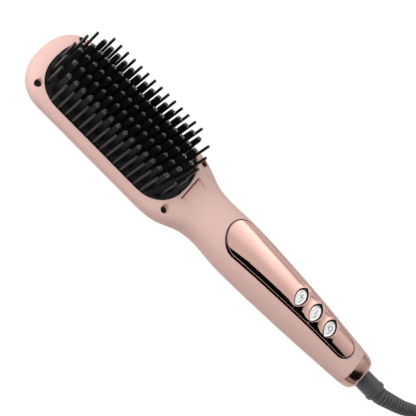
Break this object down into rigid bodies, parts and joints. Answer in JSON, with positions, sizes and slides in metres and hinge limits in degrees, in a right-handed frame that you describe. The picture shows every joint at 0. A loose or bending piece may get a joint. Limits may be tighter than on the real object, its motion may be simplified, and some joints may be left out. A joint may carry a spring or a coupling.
{
  "type": "hair straightener brush",
  "caption": "Handheld heated hair straightening brush: oval bristle head, slim handle with a button panel, swivel cord outlet and mains lead.",
  "frame": {"origin": "centre of the brush seen from above, without its cord, on the surface that its back rests on", "axes": "+X from the brush head towards the cord, +Z out of the bristles, +Y across"},
  "size_m": [0.4312, 0.0879, 0.0455],
  "materials": {
    "pink_shell": "soft-touch matte pink",
    "black_plate": "semi-gloss black",
    "black_bristle": "semi-gloss black nylon",
    "coated_blade": "black ceramic coating on heated teeth",
    "aluminium": "milled",
    "insulator": "heat-resistant moulding",
    "ceramic": "fired ceramic",
    "mica": "mica sheet",
    "spring_steel": "spring steel",
    "screw_steel": "zinc plated",
    "sensor": "glazed",
    "potting": "potted block",
    "circuit_board": "solder mask",
    "capacitor_case": "box film capacitor",
    "chip_black": "moulded package",
    "lamp": "lamp",
    "ribbon": "flat cable",
    "rose_metal": "rose-gold metallised, polished",
    "dark_trim": "dark polished trim",
    "button_clear": "clear-faced button",
    "plunger": "natural",
    "barrel_grey": "satin dark grey",
    "copper": "copper ring",
    "wire": "silicone sleeve",
    "boot_rubber": "matte dark grey",
    "cord_rubber": "matte black",
    "tie": "woven strap",
    "plug_brass": "nickel plated"
  },
  "bodies": {
    "body": {"front_cover": "pink_shell", "back_cover": "pink_shell", "brush_plate": "black_plate", "cool_pins_left": "black_bristle", "cool_pins_right": "black_bristle", "cool_pins_head": "black_bristle", "cool_pins_neck": "black_bristle", "blade_row_1": "coated_blade", "blade_row_2": "coated_blade", "blade_row_3": "coated_blade", "blade_row_4": "coated_blade", "blade_row_5": "coated_blade", "blade_tips": "black_bristle", "heating_plate": "aluminium", "heater_frame": "insulator", "heating_elements": "ceramic", "insulation_sheet": "mica", "heater_clamp": "spring_steel", "frame_screws": "screw_steel", "thermistor": "sensor", "thermal_fuse": "sensor", "case_screws": "screw_steel", "handle_screws": "screw_steel", "vent_grille": "black_plate", "ion_generator": "potting", "ion_needle": "screw_steel", "main_board": "circuit_board", "film_capacitor": "capacitor_case", "power_triac": "chip_black", "control_chip": "chip_black", "board_screws": "screw_steel", "switch_board": "circuit_board", "tact_switches": "chip_black", "button_lamps": "lamp", "board_ribbon": "ribbon", "control_panel": "rose_metal", "panel_bezel": "dark_trim", "end_cap": "rose_metal", "bearing_block": "insulator", "contact_springs": "spring_steel", "heater_leads": "wire", "ion_leads": "wire", "supply_leads": "wire", "strain_relief": "boot_rubber", "cord": "cord_rubber", "cord_coil": "cord_rubber", "coil_tie": "tie", "plug_body": "cord_rubber", "plug_pins": "plug_brass"},
    "button_plus": {"button_plus": "button_clear", "plunger_plus": "plunger"},
    "button_minus": {"button_minus": "button_clear", "plunger_minus": "plunger"},
    "button_power": {"button_power": "button_clear", "plunger_power": "plunger"},
    "swivel": {"swivel_barrel": "barrel_grey", "slip_rings": "copper"}
  },
  "joints": [
    {"name": "plus_press", "type": "slide", "parent": "body", "child": "button_plus", "axis": [-0.08, 0, -0.9968], "range_m": [0, 0.0006], "stiffness_N_per_m": 400},
    {"name": "minus_press", "type": "slide", "parent": "body", "child": "button_minus", "axis": [-0.08, 0, -0.9968], "range_m": [0, 0.0006], "stiffness_N_per_m": 400},
    {"name": "power_press", "type": "slide", "parent": "body", "child": "button_power", "axis": [-0.08, 0, -0.9968], "range_m": [0, 0.0006], "stiffness_N_per_m": 400},
    {"name": "cord_swivel", "type": "hinge", "parent": "body", "child": "swivel", "pos_m": [0.133, 0, 0.0118], "axis": [1, 0, 0], "continuous": true}
  ]
}
